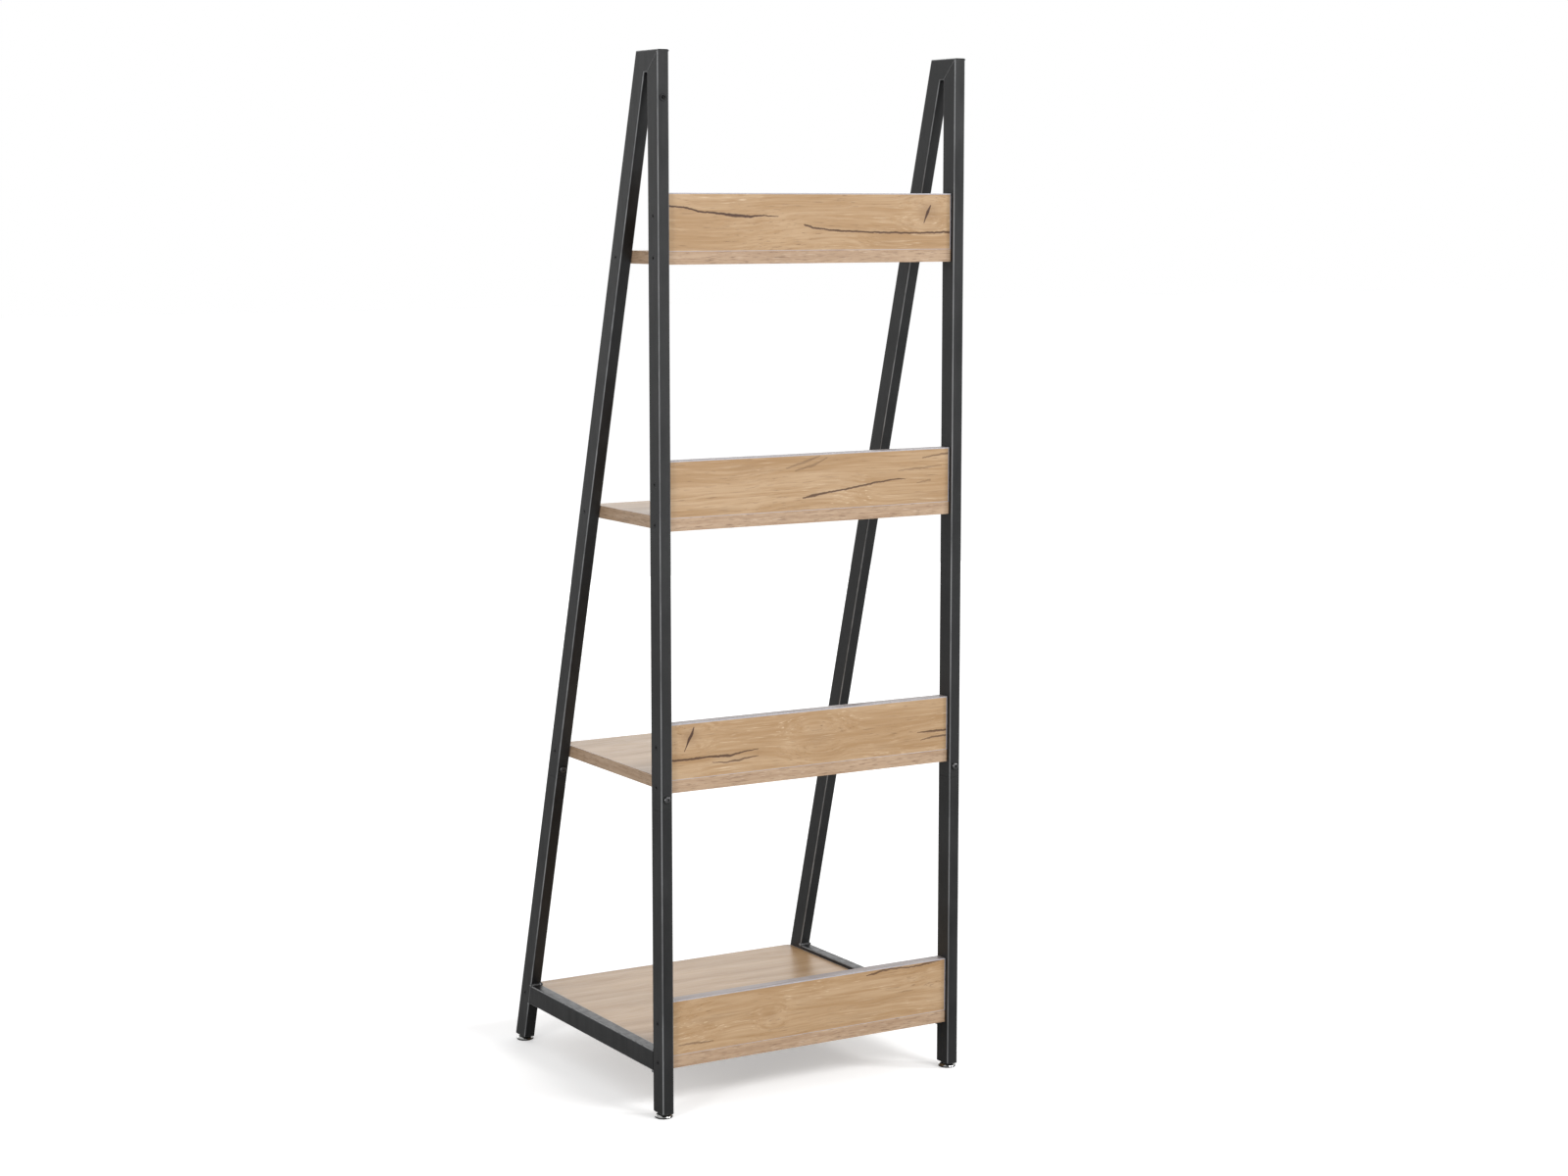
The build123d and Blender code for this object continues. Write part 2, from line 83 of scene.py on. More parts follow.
class Graph:
    """The node tree of one new material, with short ways to add to it."""

    def __init__(self, name: str) -> None:
        """Starts an empty material.

        Args:
            name: Name of the material.
        """
        self.material = bpy.data.materials.new(name)
        self.material.use_nodes = True
        self.tree = self.material.node_tree
        self.tree.nodes.clear()

    def add(self, kind: str, **settings: object) -> bpy.types.Node:
        """Adds a node.

        Args:
            kind: The node's type, without its ShaderNode prefix.
            **settings: Properties to set on it.

        Returns:
            The new node.
        """
        node = self.tree.nodes.new("ShaderNode" + kind)
        for name, value in settings.items():
            setattr(node, name, value)
        return node

    def feed(self, socket: Socket, value: object) -> None:
        """Links an input to another node or sets its value.

        Args:
            socket: The input socket.
            value: Another node's output socket, a number or a triple.
        """
        if isinstance(value, bpy.types.NodeSocket):
            self.tree.links.new(value, socket)
        elif socket.type == "RGBA":
            socket.default_value = (*value, 1.0)
        else:
            socket.default_value = value

    def number(self, operation: str, *values: object, clamp: bool = False) -> Socket:
        """Adds a Math node.

        Args:
            operation: The node's operation.
            *values: Its inputs, sockets or numbers.
            clamp: Whether the result stays from 0 to 1.

        Returns:
            Its output.
        """
        node = self.add("Math", operation=operation, use_clamp=clamp)
        for socket, value in zip(node.inputs, values):
            self.feed(socket, value)
        return node.outputs[0]

    def vector(self, operation: str, *values: object) -> bpy.types.Node:
        """Adds a Vector Math node.

        Args:
            operation: The node's operation.
            *values: Its inputs, sockets or triples.

        Returns:
            The node, because some operations give a number.
        """
        node = self.add("VectorMath", operation=operation)
        sockets = [s for s in node.inputs if s.enabled]
        for socket, value in zip(sockets, values):
            self.feed(socket, value)
        return node

    def scaled(
        self, vector: Socket, scale: Point3, offset: Point3 = (0.0, 0.0, 0.0)
    ) -> Socket:
        """Scales a coordinate along each axis, then moves it.

        Args:
            vector: The coordinate.
            scale: Factors along X, Y and Z.
            offset: What is added after the scaling.

        Returns:
            The new coordinate.
        """
        return self.vector("MULTIPLY_ADD", vector, scale, offset).outputs[0]

    def noise(
        self, vector: Socket, scale: float, detail: float = 2.0, roughness: float = 0.5
    ) -> Socket:
        """Adds a Noise Texture.

        Args:
            vector: Where it is read.
            scale: Features per metre of that coordinate.
            detail: Its octaves.
            roughness: How strong the fine octaves are.

        Returns:
            Its value, about 0.5 in the middle.
        """
        node = self.add("TexNoise", noise_dimensions="3D")
        self.feed(node.inputs["Vector"], vector)
        node.inputs["Scale"].default_value = scale
        node.inputs["Detail"].default_value = detail
        node.inputs["Roughness"].default_value = roughness
        return node.outputs["Fac"]

    def grain(
        self,
        point: Socket,
        along: float,
        across: float,
        offset: Point3 = (0.0, 0.0, 0.0),
        detail: float = 2.0,
        roughness: float = 0.5,
    ) -> Socket:
        """Adds a noise drawn out along X, as the grain of a board is.

        Args:
            point: Where it is read.
            along: Features per metre along X.
            across: Features per metre along Y and Z.
            offset: What is added after the scaling.
            detail: Its octaves.
            roughness: How strong the fine octaves are.

        Returns:
            Its value, about 0.5 in the middle.
        """
        drawn_out = self.scaled(point, (along, across, across), offset)
        return self.noise(drawn_out, 1.0, detail, roughness)

    def fit(
        self, value: Socket, low: float, high: float, start: float = 0.0, end: float = 1.0
    ) -> Socket:
        """Maps a value smoothly from low..high to start..end, held at both ends.

        Args:
            value: The value.
            low: Where it gives start.
            high: Where it gives end.
            start: The result at low.
            end: The result at high.

        Returns:
            The mapped value.
        """
        node = self.add("MapRange", interpolation_type="SMOOTHSTEP", clamp=True)
        for socket, number in zip(node.inputs[:5], (value, low, high, start, end)):
            self.feed(socket, number)
        return node.outputs[0]

    def mix(self, factor: object, a: object, b: object) -> Socket:
        """Adds a colour mix.

        Args:
            factor: How much of b.
            a: First colour.
            b: Second colour.

        Returns:
            The mixed colour.
        """
        node = self.add("Mix", data_type="RGBA")
        colours = [s for s in node.inputs if s.type == "RGBA"]
        self.feed(node.inputs[0], factor)
        self.feed(colours[0], a)
        self.feed(colours[1], b)
        return next(s for s in node.outputs if s.type == "RGBA")

    def ramp(self, value: Socket, stops: tuple[tuple[float, Colour], ...]) -> Socket:
        """Adds a colour ramp.

        Args:
            value: Where it is read.
            stops: Positions and colours in order.

        Returns:
            The colour.
        """
        node = self.add("ValToRGB")
        elements = node.color_ramp.elements
        while len(elements) < len(stops):
            elements.new(1.0)
        for element, (place, colour) in zip(elements, stops):
            element.position = place
            element.color = (*colour, 1.0)
        self.feed(node.inputs[0], value)
        return node.outputs["Color"]

    def object_point(self) -> Socket:
        """The point on the piece, in the frame's axes."""
        return self.add("TexCoord").outputs["Object"]

    def facing(self) -> tuple[Socket, Socket, Socket]:
        """The X, Y and Z of the way the surface looks."""
        return self.parts(self.add("TexCoord").outputs["Normal"])

    def parts(self, vector: Socket) -> tuple[Socket, Socket, Socket]:
        """Takes a coordinate apart.

        Args:
            vector: The coordinate.

        Returns:
            Its X, Y and Z.
        """
        node = self.add("SeparateXYZ")
        self.feed(node.inputs[0], vector)
        return node.outputs[0], node.outputs[1], node.outputs[2]

    def joined(self, x: object, y: object, z: object = 0.0) -> Socket:
        """Puts a coordinate together.

        Args:
            x: Its X, a socket or a number.
            y: Its Y.
            z: Its Z.

        Returns:
            The coordinate.
        """
        node = self.add("CombineXYZ")
        for socket, value in zip(node.inputs, (x, y, z)):
            self.feed(socket, value)
        return node.outputs[0]

    def bump(self, height: Socket, strength: float, distance: float) -> Socket:
        """Adds a bump.

        Args:
            height: The height, from 0 to 1.
            strength: How much of it shows.
            distance: Metres from lowest to highest.

        Returns:
            The bent normal.
        """
        node = self.add("Bump")
        node.inputs["Strength"].default_value = strength
        node.inputs["Distance"].default_value = distance
        self.feed(node.inputs["Height"], height)
        return node.outputs["Normal"]

    def finish(
        self, colour: Socket, roughness: object, normal: Socket | None = None, **others: object
    ) -> bpy.types.Material:
        """Ends the tree with a Principled shader.

        Args:
            colour: Base colour.
            roughness: Roughness, a socket or a number.
            normal: Bent normal, if any.
            **others: Other inputs by name, with _ for a space.

        Returns:
            The finished material.
        """
        shader = self.add("BsdfPrincipled")
        self.feed(shader.inputs["Base Color"], colour)
        self.feed(shader.inputs["Roughness"], roughness)
        if normal is not None:
            self.feed(shader.inputs["Normal"], normal)
        for name, value in others.items():
            self.feed(shader.inputs[name.replace("_", " ")], value)
        output = self.add("OutputMaterial")
        self.tree.links.new(shader.outputs[0], output.inputs["Surface"])
        return self.material


# ---- nodes and pieces ----


def dress(material: bpy.types.Material, *objects: bpy.types.Object) -> None:
    """Puts one material on objects, in every slot they have.

    Args:
        material: The material.
        *objects: CAD nodes or new pieces.
    """
    for obj in objects:
        if not obj.material_slots:
            obj.data.materials.append(material)
        for slot in obj.material_slots:
            slot.link = "OBJECT"
            slot.material = material


def nodes_named(*starts: str) -> list[bpy.types.Object]:
    """The CAD nodes whose names start with one of the given words."""
    return [o for n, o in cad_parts.items() if n.startswith(starts)]


def nothing_selected() -> None:
    """Leaves edit mode if need be and deselects everything."""
    if bpy.context.object is not None and bpy.context.object.mode != "OBJECT":
        bpy.ops.object.mode_set(mode="OBJECT")
    bpy.ops.object.select_all(action="DESELECT")


def placed_copy(pattern: bpy.types.Object, name: str, place: Matrix) -> bpy.types.Object:
    """Copies a pattern with its own mesh, moved in the mesh itself.

    Args:
        pattern: The modelled piece.
        name: Name of the copy.
        place: Where the mesh is moved to.

    Returns:
        The copy, its object at the origin.
    """
    copy = pattern.copy()
    copy.data = pattern.data.copy()
    copy.name = name
    bpy.context.scene.collection.objects.link(copy)
    copy.data.transform(place)
    copy.matrix_world = Matrix.Identity(4)
    return copy


def lay_trim(
    pattern: bpy.types.Object, name: str, place: Matrix, material: bpy.types.Material
) -> None:
    """Lays a copy of a pattern on the side frames, coated as they are.

    Args:
        pattern: The modelled piece.
        name: Name of the copy.
        place: Where its mesh is moved to.
        material: The frames' coat.
    """
    trim = placed_copy(pattern, name, place)
    dress(material, trim)
    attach(trim, MAIN_BODY)
    LOG.info("%s laid", trim.name)


# ---- metal, plastic ----


@dataclass(frozen=True)
class SatinCoat:
    """Charcoal powder coat on steel tube: satin, with a fine orange peel and a painted highlight
    along its arrises.
    """

    name: str = "charcoal_powder_coat"
    deep: Colour = (0.0075, 0.0078, 0.0082)
    pale: Colour = (0.0150, 0.0155, 0.0160)
    speck: Colour = (0.035, 0.036, 0.037)
    painted_arris_highlight: Colour = (0.260, 0.263, 0.270)
    sheen: Point2 = (0.32, 0.44)
    arris_gloss: float = -0.08
    cloud_per_metre: float = 16.0
    speck_per_metre: float = 1900.0
    drag_per_metre: float = 90.0
    drag_stretch: float = 0.12
    peel_per_metre: float = 620.0
    peel_height: float = 0.00012
    specular: float = 0.34

    def make(self) -> bpy.types.Material:
        """Builds the material.

        Returns:
            The material.
        """
        g = Graph(self.name)
        point = g.object_point()
        cloud = g.noise(point, self.cloud_per_metre, 3.0, 0.6)
        tone = g.ramp(cloud, ((0.30, self.deep), (0.72, self.pale)))
        speck = g.noise(point, self.speck_per_metre, 1.0)
        tone = g.mix(g.fit(speck, 0.66, 0.80, 0.0, 0.5), tone, self.speck)
        drawn_out = g.scaled(point, (1.0, 1.0, self.drag_stretch))
        drag = g.noise(drawn_out, self.drag_per_metre, 3.0, 0.55)
        rounded = self.rounded(g)
        # Painted highlight: a pale grey on the rounded arrises, broken up by the drag noise, stands
        # in for light caught along the edges.
        painted_highlight_amount = g.number("MULTIPLY", rounded, g.fit(drag, 0.25, 0.70, 0.45, 1.0))
        tone = g.mix(painted_highlight_amount, tone, self.painted_arris_highlight)
        gloss = g.fit(drag, 0.30, 0.72, *self.sheen)
        gloss = g.number("MULTIPLY_ADD", rounded, self.arris_gloss, gloss)
        peel = g.noise(point, self.peel_per_metre, 2.0, 0.45)
        normal = g.bump(peel, 0.22, self.peel_height)
        return g.finish(tone, gloss, normal, Specular_IOR_Level=self.specular)

    @staticmethod
    def rounded(g: Graph) -> Socket:
        """Where the tube's arrises are: 1 half way round one, 0 on a flat.

        Every arris joins a face that looks along X to one that doesn't.

        Args:
            g: The material's graph.

        Returns:
            The amount.
        """
        across = g.facing()[0]
        square = g.number("MULTIPLY", across, across)
        rest = g.number("SUBTRACT", 1.0, square)
        return g.number("MULTIPLY", g.number("MULTIPLY", square, rest), 4.0, clamp=True)


@dataclass(frozen=True)
class Metal:
    """A bare or plated metal with fine handling marks."""

    name: str
    colour: Colour
    shade: Colour
    sheen: Point2
    cloud_per_metre: float = 160.0
    fine_per_metre: float = 2600.0
    metallic: float = 1.0
    mark_height: float = 0.00003
    mark_strength: float = 0.15

    def tone(self, g: Graph, point: Socket) -> Socket:
        """Draws the colour, clouded between the metal's own and its shade.

        Args:
            g: The material's graph.
            point: The point on the piece.

        Returns:
            The colour.
        """
        cloud = g.noise(point, self.cloud_per_metre, 3.0, 0.6)
        return g.mix(g.fit(cloud, 0.35, 0.68), self.shade, self.colour)

    def make(self) -> bpy.types.Material:
        """Builds the material.

        Returns:
            The material.
        """
        g = Graph(self.name)
        point = g.object_point()
        fine = g.noise(point, self.fine_per_metre, 2.0)
        gloss = g.fit(fine, 0.30, 0.70, *self.sheen)
        normal = g.bump(fine, self.mark_strength, self.mark_height)
        return g.finish(self.tone(g, point), gloss, normal, Metallic=self.metallic)


@dataclass(frozen=True)
class PolishedCap(Metal):
    """Polished nickel dome, with painted shade along its rim near the floor."""

    name: str = "polished_nickel"
    colour: Colour = (0.72, 0.72, 0.71)
    shade: Colour = (0.56, 0.56, 0.55)
    sheen: Point2 = (0.06, 0.13)
    cloud_per_metre: float = 240.0
    mark_height: float = 0.00002
    mark_strength: float = 0.05
    painted_rim_shade: Colour = (0.07, 0.07, 0.07)
    rim_top: float = 0.0034
    rim_foot: float = 0.0018

    def tone(self, g: Graph, point: Socket) -> Socket:
        """Draws the colour, darkened along the rim by painted shade.

        Args:
            g: The material's graph.
            point: The point on the piece.

        Returns:
            The colour.
        """
        # Painted shade: the rim near the floor turns near black, standing in for the dark floor it
        # reflects.
        near_floor = g.fit(g.parts(point)[2], self.rim_top, self.rim_foot)
        return g.mix(near_floor, super().tone(g, point), self.painted_rim_shade)


MILD_STEEL = Metal("bright_mild_steel", (0.46, 0.46, 0.47), (0.30, 0.30, 0.31), (0.30, 0.50))
ZINC_PLATE = Metal("zinc_plate", (0.55, 0.56, 0.57), (0.40, 0.41, 0.43), (0.26, 0.40))
DARK_ZINC = Metal("blackened_zinc", (0.13, 0.13, 0.133), (0.08, 0.08, 0.083), (0.24, 0.36))
BLACK_OXIDE = Metal(
    "black_oxide", (0.020, 0.020, 0.021), (0.011, 0.011, 0.012), (0.30, 0.42), metallic=0.6
)


@dataclass(frozen=True)
class ThreadedInsert:
    """Blackened insert, its bore along Y lined with bare thread made bright as a painted glint."""

    middle: Point3
    mouth: float
    name: str = "blackened_insert"
    black: Colour = (0.030, 0.030, 0.031)
    grey: Colour = (0.050, 0.050, 0.052)
    thread_and_painted_glint: Colour = (0.88, 0.88, 0.87)
    bore_radius: float = 0.0030
    wall_band: Point2 = (0.0005, 0.0003)
    thread_from: float = 0.0010
    thread_full: float = 0.0024
    cloud_per_metre: float = 900.0
    mark_height: float = 0.00004

    def make(self) -> bpy.types.Material:
        """Builds the material.

        Returns:
            The material.
        """
        g = Graph(self.name)
        point = g.object_point()
        apart = g.vector("SUBTRACT", point, self.middle).outputs[0]
        away = g.vector("LENGTH", g.scaled(apart, (1.0, 0.0, 1.0))).outputs["Value"]
        wall = g.fit(away, *(self.bore_radius + band for band in self.wall_band))
        depth = g.number("SUBTRACT", self.mouth, g.parts(point)[1])
        deep = g.fit(depth, self.thread_from, self.thread_full)
        cloud = g.noise(apart, self.cloud_per_metre, 2.0)
        black = g.mix(cloud, self.black, self.grey)
        # Part real, part painted light: the bore wall deeper than about 1 mm takes near-white
        # metal, the bare thread brightened to stand in for a glint.
        tone = g.mix(g.number("MULTIPLY", wall, deep), black, self.thread_and_painted_glint)
        normal = g.bump(cloud, 0.2, self.mark_height)
        return g.finish(tone, 0.26, normal, Metallic=0.9)


@dataclass(frozen=True)
class MouldedPlastic:
    """Black injection-moulded plastic with a fine spark texture."""

    name: str = "black_moulded_plastic"
    colour: Colour = (0.012, 0.012, 0.012)
    lighter: Colour = (0.024, 0.024, 0.025)
    sheen: Point2 = (0.42, 0.62)
    cloud_per_metre: float = 60.0
    grit_per_metre: float = 3200.0
    grit_height: float = 0.00005

    def make(self) -> bpy.types.Material:
        """Builds the material.

        Returns:
            The material.
        """
        g = Graph(self.name)
        point = g.object_point()
        cloud = g.noise(point, self.cloud_per_metre, 2.0)
        grit = g.noise(point, self.grit_per_metre, 2.0)
        tone = g.mix(cloud, self.colour, self.lighter)
        gloss = g.fit(grit, 0.3, 0.7, *self.sheen)
        normal = g.bump(grit, 0.35, self.grit_height)
        return g.finish(tone, gloss, normal, Specular_IOR_Level=0.4)


@dataclass(frozen=True)
class BeechWood:
    """Plain turned beech for the dowels, with its short dark flecks."""

    name: str = "turned_beech"
    pale: Colour = (0.62, 0.41, 0.24)
    warm: Colour = (0.47, 0.28, 0.14)
    fleck: Colour = (0.22, 0.11, 0.05)
    sheen: Point2 = (0.55, 0.70)
    grain_per_metre: float = 420.0
    fleck_per_metre: float = 1500.0
    grain_height: float = 0.0001

    def make(self) -> bpy.types.Material:
        """Builds the material.

        Returns:
            The material.
        """
        g = Graph(self.name)
        point = g.object_point()
        grain = g.noise(g.scaled(point, (1.0, 1.0, 0.08)), self.grain_per_metre, 3.0)
        fleck = g.noise(g.scaled(point, (1.0, 1.0, 0.25)), self.fleck_per_metre, 1.0)
        tone = g.mix(g.fit(grain, 0.32, 0.70), self.pale, self.warm)
        tone = g.mix(g.fit(fleck, 0.64, 0.74, 0.0, 0.6), tone, self.fleck)
        gloss = g.fit(fleck, 0.3, 0.7, *self.sheen)
        return g.finish(tone, gloss, g.bump(grain, 0.3, self.grain_height))


# ---- oak ----


@dataclass(frozen=True)
class Split:
    """A dark split or streak printed in the oak decor.

    Points run along the board: X first, then the coordinate across the grain.
    """

    points: tuple[Point2, ...]
    widths: tuple[float, ...]
    darkness: float = 0.95


@dataclass(frozen=True)
class Knot:
    """A knot in the oak decor that the grain flows round."""

    centre: Point2
    radius: float = 0.013
    darkness: float = 0.45


class Across(Enum):
    """The axis across the grain on a board's wide faces."""

    BACK_TO_FRONT = 1
    UPRIGHT = 2


@dataclass(frozen=True)
class OakDecor:
    """Knotty oak decor on the wide faces of a board."""

    name: str
    across: Across
    middle: float
    seed: float
    splits: tuple[Split, ...] = ()
    knots: tuple[Knot, ...] = ()
    pale: Colour = (0.465, 0.318, 0.188)
    tan: Colour = (0.400, 0.258, 0.138)
    honey: Colour = (0.340, 0.203, 0.094)
    split_colour: Colour = (0.050, 0.018, 0.009)
    pore_colour: Colour = (0.185, 0.108, 0.055)
    pale_fleck_and_highlight_colour: Colour = (0.640, 0.490, 0.340)
    mottle_colour: Colour = (0.300, 0.205, 0.125)
    knot_colour: Colour = (0.235, 0.135, 0.065)
    # Painted highlight colour for the pale hairline along the board's ends, top and bottom.
    painted_hairline_highlight: Colour = (0.400, 0.380, 0.410)
    sheen: Point2 = (0.30, 0.42)
    emboss_height: float = 0.00022
    wave: float = 0.052
    tear: float = 0.0036
    split_spread: float = 1.6
    contrast: float = 1.0
    half_length: float = 0.0
    edges: tuple[float, float] = (0.0, 0.0)
    hairline: float = 0.0008

    def make(self) -> bpy.types.Material:
        """Builds the material.

        Returns:
            The material.
        """
        g = Graph(self.name)
        point = g.object_point()
        flat = self.flat_point(g, point)
        grain_point = self.bent_point(g, point, flat)
        tone = self.body_tone(g, grain_point)
        tone = self.pores(g, tone, grain_point)
        for knot in self.knots:
            tone = self.with_knot(g, tone, flat, knot)
        ragged = self.ragged_point(g, point, flat)
        for split in self.splits:
            tone = self.with_split(g, tone, ragged, split)
        if self.half_length:
            tone = self.with_hairline(g, tone, point)
        emboss = g.grain(grain_point, 14.0, 330.0, detail=3.0, roughness=0.6)
        gloss = g.fit(emboss, 0.3, 0.7, *self.sheen)
        normal = g.bump(emboss, 0.30, self.emboss_height)
        return g.finish(tone, gloss, normal, Specular_IOR_Level=0.42)

    def flat_point(self, g: Graph, point: Socket) -> Socket:
        """The place on the decor sheet: along the board, then across it.

        The sheet on the face behind the middle runs the other way, so that
        the two faces don't carry the same marks in the same place.

        Args:
            g: The material's graph.
            point: The point on the piece.

        Returns:
            The place on the sheet, with a third value of 0.
        """
        x, y, z = g.parts(point)
        across, through = (z, y) if self.across is Across.UPRIGHT else (y, z)
        way = g.number("SIGN", g.number("SUBTRACT", through, self.middle))
        return g.joined(g.number("MULTIPLY", x, way), across)

    def bent_point(self, g: Graph, point: Socket, flat: Socket) -> Socket:
        """The point for the grain, bent by slow waves and round the knots.

        Args:
            g: The material's graph.
            point: The point on the piece.
            flat: The place on the sheet.

        Returns:
            The bent point.
        """
        drift = g.grain(point, 2.6, 9.0, (self.seed,) * 3)
        lift = g.number("MULTIPLY_ADD", drift, self.wave, -self.wave / 2)
        for knot in self.knots:
            apart = g.vector("SUBTRACT", flat, (*knot.centre, 0.0)).outputs[0]
            away = g.vector("LENGTH", g.scaled(apart, (0.6, 1.0, 1.0))).outputs["Value"]
            pull = g.fit(away, 0.0, knot.radius * 3.2, 0.85, 0.0)
            _, up, _ = g.parts(apart)
            lift = g.number("SUBTRACT", lift, g.number("MULTIPLY", up, pull))
        return g.vector("ADD", point, g.joined(0.0, lift, lift)).outputs[0]

    def body_tone(self, g: Graph, point: Socket) -> Socket:
        """The broad colour: slow bands, finer streaks and mottling.

        Args:
            g: The material's graph.
            point: The bent point.

        Returns:
            The colour.
        """
        seed = (self.seed * 1.7, self.seed * 0.6, self.seed * 2.3)
        bands = g.grain(point, 2.4, 34.0, seed, 3.0, 0.55)
        tone = g.ramp(bands, ((0.33, self.pale), (0.50, self.tan), (0.68, self.honey)))
        streaks = g.grain(point, 7.0, 260.0, seed, 3.0, 0.6)
        amount = 0.8 * self.contrast
        tone = g.mix(g.fit(streaks, 0.42, 0.72, 0.0, amount), tone, self.honey)
        tone = g.mix(g.fit(streaks, 0.50, 0.26, 0.0, amount), tone, self.pale)
        mottle = g.grain(point, 8.0, 48.0, seed)
        amount = 0.26 * self.contrast
        return g.mix(g.fit(mottle, 0.52, 0.78, 0.0, amount), tone, self.mottle_colour)

    def pores(self, g: Graph, tone: Socket, point: Socket) -> Socket:
        """Adds short dark pores, and pale flecks brightened as painted highlight on the embossing.

        Args:
            g: The material's graph.
            tone: The colour so far.
            point: The bent point.

        Returns:
            The colour with both.
        """
        most = 0.75 * self.contrast
        patch = g.grain(point, 5.0, 26.0, (self.seed, 4.0, 1.0), 1.0)
        pore = g.grain(point, 26.0, 800.0, (3.0, 1.0, 2.0), 2.0, 0.6)
        where = g.fit(patch, 0.35, 0.62, 0.2 * most, most)
        amount = g.number("MULTIPLY", g.fit(pore, 0.60, 0.72), where)
        tone = g.mix(amount, tone, self.pore_colour)
        # Part real, part painted highlight: pale flecks of the decor, brightened where the
        # embossing would catch light.
        fleck = g.grain(point, 12.0, 680.0, (9.0, 5.0, 7.0))
        where = g.fit(patch, 0.62, 0.36, 0.1 * most, most)
        amount = g.number("MULTIPLY", g.fit(fleck, 0.58, 0.74), where)
        return g.mix(amount, tone, self.pale_fleck_and_highlight_colour)

    def with_knot(self, g: Graph, tone: Socket, flat: Socket, knot: Knot) -> Socket:
        """Adds a knot's darker eye and its rings.

        Args:
            g: The material's graph.
            tone: The colour so far.
            flat: The place on the sheet.
            knot: The knot.

        Returns:
            The colour with the knot.
        """
        apart = g.vector("SUBTRACT", flat, (*knot.centre, 0.0)).outputs[0]
        away = g.vector("LENGTH", g.scaled(apart, (0.75, 1.0, 1.0))).outputs["Value"]
        wobble = g.noise(flat, 130.0, 2.0)
        away = g.number("MULTIPLY_ADD", wobble, knot.radius * 0.5, away)
        halo = g.fit(away, knot.radius * 0.35, knot.radius * 1.9, knot.darkness, 0.0)
        tone = g.mix(halo, tone, self.knot_colour)
        ring_spacing = knot.radius * 0.28
        rings = g.number("SINE", g.number("MULTIPLY", away, 2 * math.pi / ring_spacing))
        rings = g.number("MULTIPLY", g.fit(rings, 0.2, 1.0, 0.0, 0.30), halo)
        return g.mix(rings, tone, self.pore_colour)

    def ragged_point(self, g: Graph, point: Socket, flat: Socket) -> Socket:
        """The place on the sheet, shaken a little so that splits look torn.

        Args:
            g: The material's graph.
            point: The point on the piece.
            flat: The place on the sheet.

        Returns:
            The shaken place.
        """
        shake = g.noise(g.scaled(point, (1.0, 0.6, 0.6)), 120.0, 4.0, 0.55)
        shift = g.number("MULTIPLY_ADD", shake, self.tear, -self.tear / 2)
        return g.vector("ADD", flat, g.joined(0.0, shift)).outputs[0]

    def with_hairline(self, g: Graph, tone: Socket, point: Socket) -> Socket:
        """Adds a painted highlight: a pale line where the face meets its edging.

        Args:
            g: The material's graph.
            tone: The colour so far.
            point: The point on the piece.

        Returns:
            The colour with the line.
        """
        x, _, z = g.parts(point)
        low, high = self.edges
        end = g.number("SUBTRACT", self.half_length, g.number("ABSOLUTE", x))
        rise = g.number("SUBTRACT", z, low)
        drop = g.number("SUBTRACT", high, z)
        near = g.number("MINIMUM", end, g.number("MINIMUM", rise, drop))
        # Painted highlight: a pale blue-grey line within a hairline's width of the edges, standing
        # in for light on the arris.
        line = g.fit(near, self.hairline, self.hairline * 0.6)
        return g.mix(line, tone, self.painted_hairline_highlight)

    def with_split(self, g: Graph, tone: Socket, place: Socket, split: Split) -> Socket:
        """Adds one split, as runs of changing width between its points.

        Args:
            g: The material's graph.
            tone: The colour so far.
            place: The shaken place on the sheet.
            split: The split.

        Returns:
            The colour with the split.
        """
        mark: Socket | None = None
        runs = zip(split.points, split.points[1:], split.widths, split.widths[1:])
        for start, end, wide, wider in runs:
            run = Vector((*end, 0.0)) - Vector((*start, 0.0))
            apart = g.vector("SUBTRACT", place, (*start, 0.0)).outputs[0]
            dot = g.vector("DOT_PRODUCT", apart, tuple(run / run.length_squared))
            along = g.number("ADD", dot.outputs["Value"], 0.0, clamp=True)
            onto = g.vector("SCALE", tuple(run))
            g.feed(onto.inputs["Scale"], along)
            off = g.vector("DISTANCE", apart, onto.outputs[0]).outputs["Value"]
            wide, wider = wide * self.split_spread, wider * self.split_spread
            width = g.number("MULTIPLY_ADD", along, wider - wide, wide)
            near = g.fit(g.number("DIVIDE", off, width), 1.0, 0.45)
            mark = near if mark is None else g.number("MAXIMUM", mark, near)
        return g.mix(g.number("MULTIPLY", mark, split.darkness), tone, self.split_colour)


